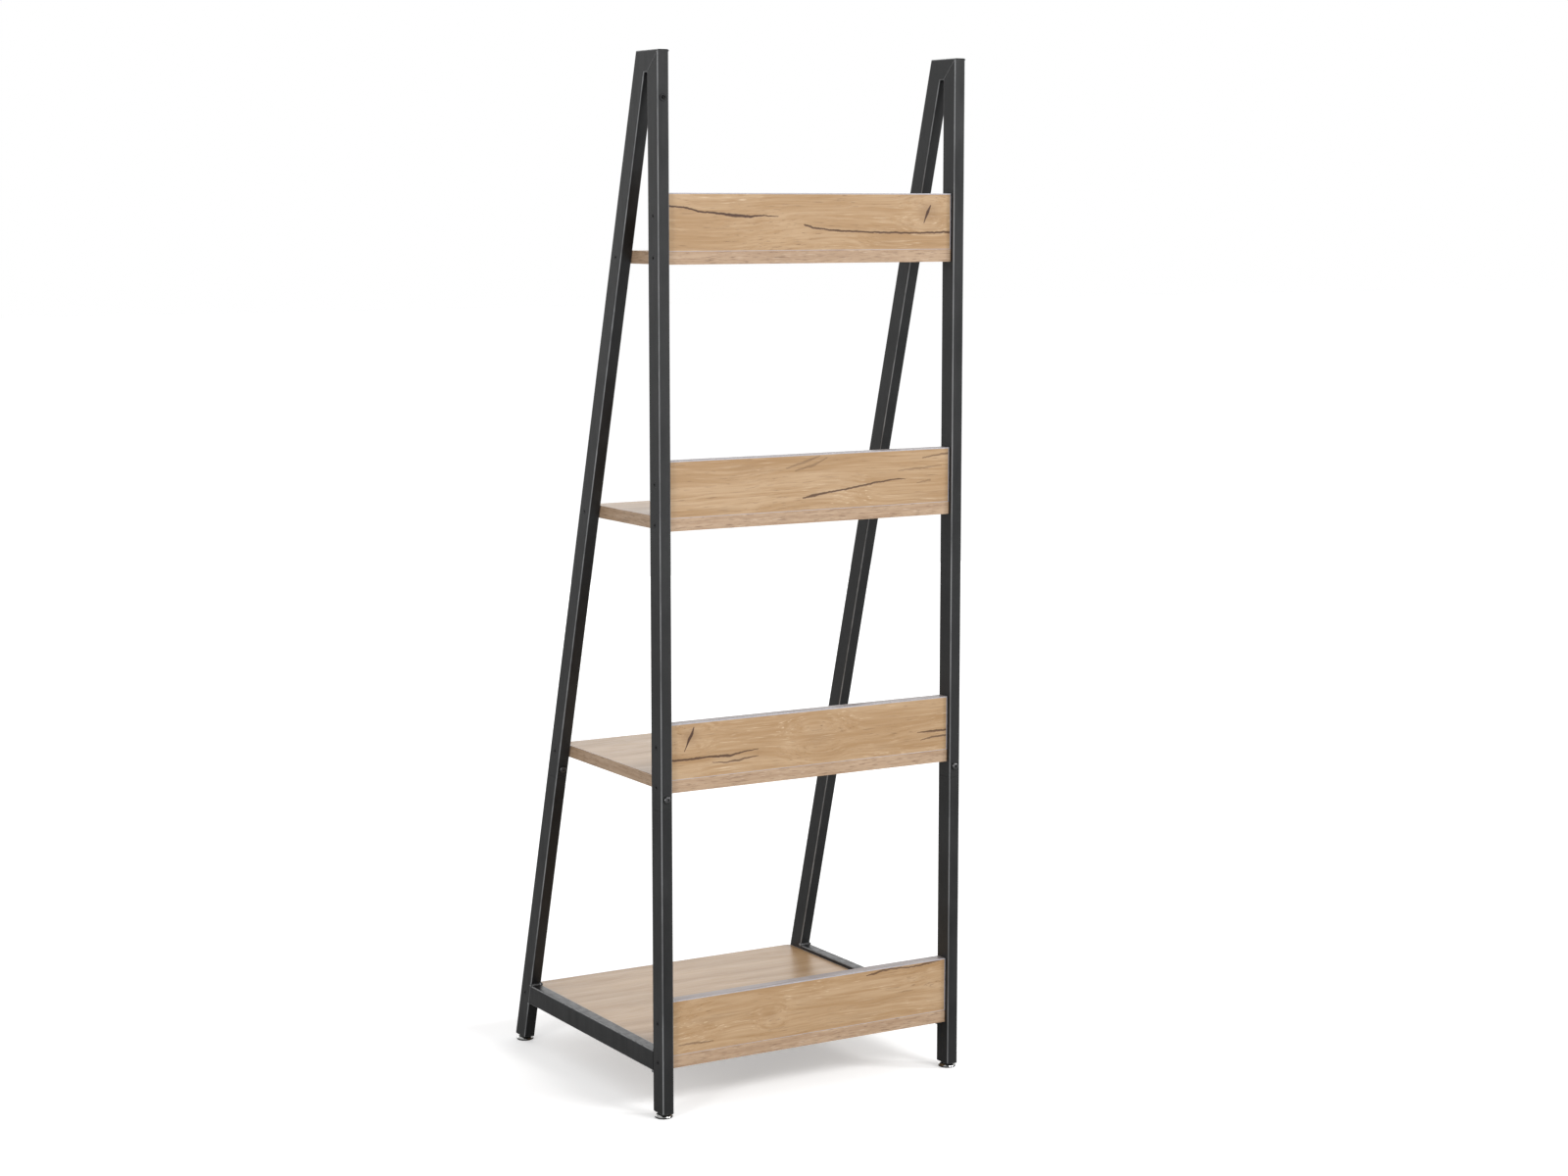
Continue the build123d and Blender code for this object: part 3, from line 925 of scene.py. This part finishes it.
@dataclass(frozen=True)
class OakEdging:
    """Edging strip: coarse printed grain, its cut faces pale as painted highlight, upward faces
    greyed as painted reflection.
    """

    name: str
    cut_axis: int
    pale: Colour = (0.435, 0.305, 0.202)
    tan: Colour = (0.355, 0.234, 0.146)
    pore: Colour = (0.185, 0.110, 0.064)
    fleck: Colour = (0.600, 0.470, 0.360)
    cut_edge_and_highlight: Colour = (0.440, 0.425, 0.450)
    top: Colour = (0.250, 0.230, 0.245)
    sheen: Point2 = (0.34, 0.46)
    wave: float = 0.012
    pore_height: float = 0.00015
    painted_top_reflection: float = 0.0

    def make(self) -> bpy.types.Material:
        """Builds the material.

        Returns:
            The material.
        """
        g = Graph(self.name)
        facing = g.facing()
        point = self.turned_at_ends(g, g.object_point(), facing[0])
        lift = g.number("MULTIPLY_ADD", g.grain(point, 5.0, 20.0), self.wave, -self.wave / 2)
        point = g.vector("ADD", point, g.joined(0.0, lift, lift)).outputs[0]
        bands = g.grain(point, 9.0, 190.0, detail=3.0, roughness=0.6)
        tone = g.mix(g.fit(bands, 0.34, 0.68), self.pale, self.tan)
        pores = g.grain(point, 52.0, 950.0, (5.0, 2.0, 8.0), 2.0, 0.6)
        tone = g.mix(g.fit(pores, 0.54, 0.68, 0.0, 0.80), tone, self.pore)
        flecks = g.grain(point, 48.0, 800.0, (1.0, 7.0, 3.0), 1.0)
        tone = g.mix(g.fit(flecks, 0.62, 0.76, 0.0, 0.5), tone, self.fleck)
        # Painted reflection: faces looking up are greyed towards a dim lilac grey, standing in for
        # what they reflect.
        tone = g.mix(g.fit(facing[2], 0.6, 0.8, 0.0, self.painted_top_reflection), tone, self.top)
        # Part real, part painted highlight: the narrow cut faces take a pale blue-grey, the cut
        # edge's own colour brightened to read as the lit hairline.
        edge = g.fit(g.number("ABSOLUTE", facing[self.cut_axis]), 0.6, 0.8)
        dull = g.noise(point, 240.0, 2.0)
        cut_edge_and_highlight = g.mix(g.fit(dull, 0.3, 0.7), self.cut_edge_and_highlight, tuple(0.8 * c for c in self.cut_edge_and_highlight))
        tone = g.mix(edge, tone, cut_edge_and_highlight)
        gloss = g.fit(bands, 0.3, 0.7, *self.sheen)
        normal = g.bump(pores, 0.35, self.pore_height)
        return g.finish(tone, gloss, normal, Specular_IOR_Level=0.42)

    @staticmethod
    def turned_at_ends(g: Graph, point: Socket, facing_x: Socket) -> Socket:
        """The point with X and Y swapped on faces that look along X.

        Args:
            g: The material's graph.
            point: The point on the strip.
            facing_x: How far the face looks along X.

        Returns:
            The point for a grain that always runs along the strip.
        """
        x, y, z = g.parts(point)
        end = g.number("GREATER_THAN", g.number("ABSOLUTE", facing_x), 0.75)
        turned_x = g.number("MULTIPLY_ADD", g.number("SUBTRACT", y, x), end, x)
        turned_y = g.number("MULTIPLY_ADD", g.number("SUBTRACT", x, y), end, y)
        return g.joined(turned_x, turned_y, z)


# ---- boards ----

TOP_SPLITS = (
    Split(
        ((0.2345, 1.2893), (0.2087, 1.2873), (0.1819, 1.2812), (0.1549, 1.2792),
         (0.1278, 1.2761), (0.1024, 1.2744), (0.0848, 1.2760), (0.0572, 1.2743)),
        (0.0010, 0.0011, 0.0010, 0.0013, 0.0019, 0.0015, 0.0008, 0.0004),
    ),
    Split(
        ((0.0142, 1.2633), (0.0013, 1.2588), (-0.0148, 1.2570), (-0.0390, 1.2545),
         (-0.0716, 1.2530), (-0.1168, 1.2514), (-0.1793, 1.2507), (-0.2345, 1.2515)),
        (0.0010, 0.0013, 0.0009, 0.0013, 0.0010, 0.0012, 0.0011, 0.0013),
        0.85,
    ),
    Split(
        ((-0.1983, 1.2900), (-0.1936, 1.2813), (-0.1869, 1.2655)),
        (0.0006, 0.0020, 0.0005),
    ),
)
UPPER_SPLITS = (
    Split(
        ((0.0165, 0.8766), (0.0010, 0.8790), (-0.0272, 0.8832), (-0.0461, 0.8844),
         (-0.0905, 0.8908), (-0.1129, 0.8935), (-0.1451, 0.8963), (-0.1580, 0.8954)),
        (0.0008, 0.0017, 0.0011, 0.0011, 0.0012, 0.0010, 0.0008, 0.0003),
        0.85,
    ),
    Split(((0.0444, 0.9202), (0.0103, 0.9287), (-0.0115, 0.9358)), (0.0008, 0.0018, 0.0006), 0.35),
    Split(((0.0289, 0.9163), (-0.0021, 0.9228), (-0.0240, 0.9325)), (0.0008, 0.0016, 0.0006), 0.35),
    Split(((-0.1873, 0.9253), (-0.2345, 0.9308)), (0.0008, 0.0014), 0.55),
    Split(
        ((-0.1451, 0.9082), (-0.1710, 0.9097), (-0.2200, 0.9130)), (0.0006, 0.0013, 0.0006), 0.35
    ),
    Split(((-0.1775, 0.8890), (-0.2004, 0.8920)), (0.0006, 0.0012), 0.35),
)
LOWER_SPLITS = (
    Split(
        ((0.1957, 0.5613), (0.1986, 0.5525), (0.2031, 0.5451), (0.2075, 0.5352), (0.2111, 0.5277)),
        (0.0006, 0.0018, 0.0019, 0.0007, 0.0004),
    ),
    Split(
        ((0.2345, 0.5166), (0.2016, 0.5164), (0.1748, 0.5171), (0.1434, 0.5159),
         (0.1374, 0.5153), (0.1208, 0.5181), (0.0904, 0.5210)),
        (0.0012, 0.0014, 0.0012, 0.0017, 0.0015, 0.0010, 0.0004),
        0.85,
    ),
    Split(
        ((0.1659, 0.5077), (0.1479, 0.5067), (0.1238, 0.5074), (0.1117, 0.5094), (0.0904, 0.5107)),
        (0.0005, 0.0009, 0.0014, 0.0012, 0.0004),
        0.7,
    ),
    Split(((-0.1808, 0.5187), (-0.2037, 0.5187), (-0.2345, 0.5183)), (0.0004, 0.0014, 0.0012), 0.8),
    Split(((-0.1873, 0.5066), (-0.2069, 0.5097), (-0.2345, 0.5106)), (0.0004, 0.0012, 0.0011), 0.7),
)
BOTTOM_SPLITS = (
    Split(
        ((-0.0937, 0.1624), (-0.1064, 0.1633), (-0.1225, 0.1665), (-0.1483, 0.1665),
         (-0.1710, 0.1647), (-0.1938, 0.1657), (-0.2135, 0.1676), (-0.2240, 0.1677)),
        (0.0005, 0.0012, 0.0013, 0.0011, 0.0010, 0.0012, 0.0010, 0.0004),
        0.75,
    ),
    Split(
        ((0.2223, 0.1039), (0.2016, 0.1039), (0.1808, 0.1028), (0.1659, 0.1026)),
        (0.0005, 0.0013, 0.0012, 0.0005),
        0.5,
    ),
)
STOP_SPLITS = {
    Level.TOP: TOP_SPLITS,
    Level.UPPER: UPPER_SPLITS,
    Level.LOWER: LOWER_SPLITS,
    Level.BOTTOM: BOTTOM_SPLITS,
}
STOP_KNOTS = {
    Level.TOP: (Knot((-0.1936, 1.2813)),),
    Level.UPPER: (),
    Level.LOWER: (Knot((0.2010, 0.5490), 0.011), Knot((-0.010, 0.5290), 0.016, 0.16)),
    Level.BOTTOM: (Knot((0.0690, 0.1255), 0.008, 0.20),),
}


@dataclass
class Boards:
    """The four shelves and their stop boards, all oak decor with edging."""

    shelf_contrast: float = 0.4
    shelf_seed_shift: float = 3.0
    stop_painted_top_reflection: float = 0.8
    seeds: dict[Level, float] = field(
        default_factory=lambda: {
            Level.TOP: 11.3, Level.UPPER: 4.9, Level.LOWER: 23.1, Level.BOTTOM: 37.7,
        }
    )

    def shelf(self, level: Level) -> None:
        """Dresses one shelf board.

        Args:
            level: Its tier.
        """
        name = f"shelf_board_{level.value}"
        low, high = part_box(name)
        oak = OakDecor(
            f"oak_{name}",
            Across.BACK_TO_FRONT,
            (low.z + high.z) / 2,
            self.seeds[level] + self.shelf_seed_shift,
            contrast=self.shelf_contrast,
        )
        dress(oak.make(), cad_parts[name])
        LOG.info("%s dressed", name)

    def stop(self, level: Level) -> None:
        """Dresses one stop board.

        Args:
            level: Its tier.
        """
        name = f"stop_board_{level.value}"
        low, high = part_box(name)
        oak = OakDecor(
            f"oak_{name}",
            Across.UPRIGHT,
            (low.y + high.y) / 2,
            self.seeds[level],
            STOP_SPLITS[level],
            STOP_KNOTS[level],
            half_length=high.x,
            edges=(low.z, high.z),
        )
        dress(oak.make(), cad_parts[name])
        LOG.info("%s dressed", name)

    def edging(self) -> None:
        """Dresses the edging strips, whose cut edges show on their narrow sides."""
        flat = OakEdging("edging_flat_boards", cut_axis=2)
        dress(flat.make(), *nodes_named("shelf_edge_band"))
        upright = OakEdging("edging_stop_boards", cut_axis=1, painted_top_reflection=self.stop_painted_top_reflection)
        dress(upright.make(), *nodes_named("stop_edge_band"))
        LOG.info("edging dressed")

    def build(self) -> None:
        """Dresses every board."""
        for level in Level:
            self.shelf(level)
            self.stop(level)
        self.edging()


# ---- side frames ----


@dataclass
class WeldBeads:
    """Rippled weld beads where the low side rails meet their leg and post."""

    material: bpy.types.Material
    across: float = 0.0168
    ripples: int = 7
    radius: float = 0.0024
    flattening: Point3 = (0.95, 1.0, 0.85)
    wander: float = 0.00018
    swell: float = 0.06
    end_swell: float = 1.45
    voxel: float = 0.00034
    lift: float = 0.0004
    gap: float = 0.0005

    def model(self) -> bpy.types.Object:
        """Models one bead along X, centred on the origin.

        Returns:
            The bead, which the placed ones are copied from.
        """
        nothing_selected()
        step = self.across / (self.ripples - 1)
        first = (-self.across / 2, 0, 0)
        bpy.ops.mesh.primitive_uv_sphere_add(
            segments=16, ring_count=10, radius=self.radius, location=first
        )
        bead = bpy.context.object
        bead.name = "weld_bead"
        bpy.ops.object.mode_set(mode="EDIT")
        bpy.ops.mesh.select_all(action="SELECT")
        bpy.ops.transform.resize(value=self.flattening, center_override=first)
        for turn in range(1, self.ripples):
            bpy.ops.mesh.duplicate()
            jitter = self.wander * math.sin(5.1 * turn)
            bpy.ops.transform.translate(value=(step, jitter, -jitter))
            swell = 1.0 + self.swell * math.sin(3.7 * turn)
            if turn == self.ripples - 1:
                swell = self.end_swell
            centre = (-self.across / 2 + step * turn, 0, 0)
            bpy.ops.transform.resize(value=(swell,) * 3, center_override=centre)
        bpy.ops.object.mode_set(mode="OBJECT")
        bpy.ops.object.transform_apply(location=True, rotation=True, scale=True)
        remesh = bead.modifiers.new("fuse", "REMESH")
        remesh.mode = "VOXEL"
        remesh.voxel_size = self.voxel
        bpy.ops.object.modifier_apply(modifier=remesh.name)
        smooth = bead.modifiers.new("soften", "SMOOTH")
        smooth.factor = 0.5
        smooth.iterations = 3
        bpy.ops.object.modifier_apply(modifier=smooth.name)
        bpy.ops.object.shade_smooth()
        return bead

    def seats(self) -> dict[str, Vector]:
        """Finds where the beads lie.

        Returns:
            The middle of each bead, by name.
        """
        found = {}
        for side in Side:
            word = side.name.lower()
            low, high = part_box(f"side_rail_{word}")
            x = (low.x + high.x) / 2
            post_low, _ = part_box(f"rear_post_lower_{word}")
            leg_y = self.leg_rear_face(word)
            for name, z in (("top", high.z + self.lift), ("under", low.z - self.lift)):
                found[f"{word}_leg_{name}"] = Vector((x, leg_y(z) + self.gap, z))
                found[f"{word}_post_{name}"] = Vector((x, post_low.y - self.gap, z))
        return found

    @staticmethod
    def leg_rear_face(word: str) -> Callable[[float], float]:
        """The Y of a leg's rear face as a function of height.

        Args:
            word: The side's name.

        Returns:
            A function from Z to Y.
        """
        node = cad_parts[f"front_leg_lower_{word}"]
        low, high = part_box(node.name)
        tolerance = 0.0005
        near = {}
        for z in (low.z, high.z):
            near[z] = max(v.co.y for v in node.data.vertices if abs(v.co.z - z) < tolerance)
        slope = (near[high.z] - near[low.z]) / (high.z - low.z)
        return lambda z: near[low.z] + slope * (z - low.z)

    def build(self) -> None:
        """Models the bead once and lays a copy in each corner."""
        pattern = self.model()
        for name, place in self.seats().items():
            turn = Matrix.Rotation(0.0 if "left" in name else math.pi, 4, "Z")
            lay_trim(pattern, f"weld_{name}", Matrix.Translation(place) @ turn, self.material)
        bpy.data.objects.remove(pattern)


@dataclass
class MitreSeams:
    """The faint raised seam where each short top rail is mitred to its post."""

    material: bpy.types.Material
    foot: Point2 = (0.2128, 1.4715)
    head: Point2 = (0.2415, 1.4988)
    radius: float = 0.0009
    proud: float = 0.00025

    def model(self) -> bpy.types.Object:
        """Models one seam as a slim ridge with rounded ends, at X = 0.

        Returns:
            The ridge, which the placed ones are copied from.
        """
        nothing_selected()
        start, end = Vector((0.0, *self.foot)), Vector((0.0, *self.head))
        run, middle = end - start, (start + end) / 2
        bpy.ops.mesh.primitive_cylinder_add(
            vertices=20, radius=self.radius, depth=run.length, location=middle
        )
        ridge = bpy.context.object
        bpy.ops.object.mode_set(mode="EDIT")
        bpy.ops.mesh.select_all(action="SELECT")
        lean = math.atan2(run.y, run.z)
        bpy.ops.transform.rotate(value=lean, orient_axis="X", center_override=middle)
        bpy.ops.object.mode_set(mode="OBJECT")
        bpy.ops.object.transform_apply(location=True, rotation=True, scale=True)
        rounding = ridge.modifiers.new("round ends", "BEVEL")
        rounding.width = self.radius * 0.8
        rounding.segments = 4
        rounding.limit_method = "ANGLE"
        bpy.ops.object.modifier_apply(modifier=rounding.name)
        bpy.ops.object.shade_smooth()
        return ridge

    def build(self) -> None:
        """Lays a seam on the outer and the inner face of each frame."""
        pattern = self.model()
        sunk = self.radius - self.proud
        for side in Side:
            word = side.name.lower()
            low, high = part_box(f"rear_post_upper_{word}")
            for face, x in (("minus", low.x + sunk), ("plus", high.x - sunk)):
                place = Matrix.Translation((x, 0, 0))
                lay_trim(pattern, f"mitre_seam_{word}_{face}", place, self.material)
        bpy.data.objects.remove(pattern)


@dataclass
class SideFrames:
    """The two welded tube frames, their hidden sleeves and their welds."""

    def build(self) -> None:
        """Dresses the tubes and sleeves, then lays the welds and the seams."""
        coat = SatinCoat().make()
        dress(coat, *nodes_named("rear_post", "front_leg", "top_rail", "side_rail"))
        LOG.info("tubes dressed")
        dress(MILD_STEEL.make(), *nodes_named("post_sleeve", "leg_sleeve"))
        LOG.info("sleeves dressed")
        WeldBeads(coat).build()
        MitreSeams(coat).build()


# ---- fixings and feet ----


@dataclass
class Fixings:
    """Screws, nuts, dowels and the wall-strap insert."""

    def build(self) -> None:
        """Dresses them all."""
        dress(BLACK_OXIDE.make(), *nodes_named("shelf_screws", "stop_board_screws"))
        dress(DARK_ZINC.make(), *nodes_named("frame_joint_screws"))
        self.anchor()
        dress(ZINC_PLATE.make(), *nodes_named("sleeve_nuts", "foot_stem"))
        dress(BeechWood().make(), *nodes_named("stop_board_dowels"))
        LOG.info("fixings dressed")

    def anchor(self) -> None:
        """Dresses the wall-strap insert."""
        (insert,) = nodes_named("wall_anchor_insert")
        low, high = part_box(insert.name)
        finish = ThreadedInsert(middle=tuple((low + high) / 2), mouth=high.y)
        dress(finish.make(), insert)


@dataclass
class Feet:
    """The four levelling feet: plug, stem, pad and polished cap."""

    def build(self) -> None:
        """Dresses the pads, plugs and caps."""
        dress(MouldedPlastic().make(), *nodes_named("foot_plug", "foot_pad"))
        dress(PolishedCap().make(), *nodes_named("foot_cap"))
        LOG.info("feet dressed")


# ---- studio ----


@dataclass(frozen=True)
class SoftBox:
    """A rectangular soft light: where its middle is and the point it faces."""

    name: str
    place: Point3
    aim: Point3
    size: Point2
    watts: float

    def hang(self) -> None:
        """Adds the light to the scene."""
        light = bpy.data.lights.new(self.name, "AREA")
        light.shape = "RECTANGLE"
        light.size, light.size_y = self.size
        light.energy = self.watts
        lamp = bpy.data.objects.new(self.name, light)
        bpy.context.scene.collection.objects.link(lamp)
        lamp.location = self.place
        turn = (Vector(self.aim) - Vector(self.place)).to_track_quat("-Z", "Y")
        lamp.rotation_euler = turn.to_euler()


SOFT_BOXES = (
    SoftBox("key", (-2.2, 5.7, 4.6), (0, 0, 0.5), (2.2, 2.2), 205.0),
    SoftBox("side_lamp", (-5.0, 3.9, 3.0), (0, 0, 0.2), (0.9, 0.9), 150.0),
    SoftBox("edge_strip", (3.6, 2.0, 1.1), (0.2, 0.2, 0.7), (0.8, 1.8), 56.0),
    SoftBox("backdrop", (-0.8, -5.2, 1.7), (0, 0, 1.0), (6.5, 3.4), 74.0),
    SoftBox("front_low", (-1.2, 5.0, 0.7), (0, 0, 0.2), (2.4, 0.8), 26.0),
)


@dataclass
class Studio:
    """Pale floor, soft lights and the camera."""

    camera_place: Point3 = (2.129, 3.735, 1.288)
    camera_heading: float = 0.53632
    camera_pitch: float = 0.13150
    lens: float = 66.18
    sensor_width: float = 36.0
    clip_end: float = 200.0
    floor_size: float = 60.0
    floor_greys: tuple[Colour, Colour] = ((0.84, 0.84, 0.84), (0.86, 0.86, 0.86))
    floor_bounce: Colour = (0.45, 0.45, 0.45)
    lift_reach: Point2 = (0.6, 3.5)
    lift_amount: Point2 = (0.38, 0.52)
    room_light: float = 0.60

    def floor(self) -> None:
        """Lays the floor, whiter to the camera than in the light it gives back."""
        nothing_selected()
        bpy.ops.mesh.primitive_plane_add(size=self.floor_size, location=(0, 0, 0))
        ground = bpy.context.object
        ground.name = "studio_floor"
        g = Graph("pale_floor")
        point = g.object_point()
        seen = g.add("LightPath").outputs["Is Camera Ray"]
        pale = g.mix(g.noise(point, 3.0, 2.0), *self.floor_greys)
        tone = g.mix(seen, self.floor_bounce, pale)
        # Painted light: the floor glows to the camera, less near the shelf and more far off, so the
        # far floor turns white while shade near the shelf stays.
        away = g.vector("LENGTH", point).outputs["Value"]
        lift = g.fit(away, *self.lift_reach, *self.lift_amount)
        glow = {
            "Emission_Color": (1.0, 1.0, 1.0),
            "Emission_Strength": g.number("MULTIPLY", lift, seen),
        }
        material = g.finish(tone, 0.8, Specular_IOR_Level=0.1, **glow)
        dress(material, ground)

    def surroundings(self) -> None:
        """Fills the room with even light, white where the camera sees it."""
        world = bpy.data.worlds.new("white_room")
        bpy.context.scene.world = world
        world.use_nodes = True
        tree = world.node_tree
        background = tree.nodes["Background"]
        background.inputs["Color"].default_value = (1, 1, 1, 1)
        path = tree.nodes.new("ShaderNodeLightPath")
        level = tree.nodes.new("ShaderNodeMapRange")
        level.inputs["To Min"].default_value = self.room_light
        level.inputs["To Max"].default_value = 1.0
        tree.links.new(path.outputs["Is Camera Ray"], level.inputs["Value"])
        tree.links.new(level.outputs[0], background.inputs["Strength"])

    def camera(self) -> None:
        """Sets up the camera behind the shelf's right-hand side."""
        data = bpy.data.cameras.new("studio_camera")
        data.lens = self.lens
        data.sensor_width = self.sensor_width
        data.clip_end = self.clip_end
        camera = bpy.data.objects.new("studio_camera", data)
        bpy.context.scene.collection.objects.link(camera)
        camera.location = self.camera_place
        camera.rotation_euler = (
            math.pi / 2 - self.camera_pitch, 0.0, math.pi - self.camera_heading
        )
        bpy.context.scene.camera = camera

    def build(self) -> None:
        """Sets up the whole studio."""
        self.floor()
        self.surroundings()
        for soft_box in SOFT_BOXES:
            soft_box.hang()
        self.camera()
        bpy.context.scene.view_settings.view_transform = "Standard"
        LOG.info("studio ready")


def main() -> None:
    """Builds the looks of every sub-assembly in order."""
    logging.basicConfig(level=logging.INFO, format="%(name)s: %(message)s")
    Studio().build()
    SideFrames().build()
    Boards().build()
    Fixings().build()
    Feet().build()


if __name__ == "__main__":
    main()
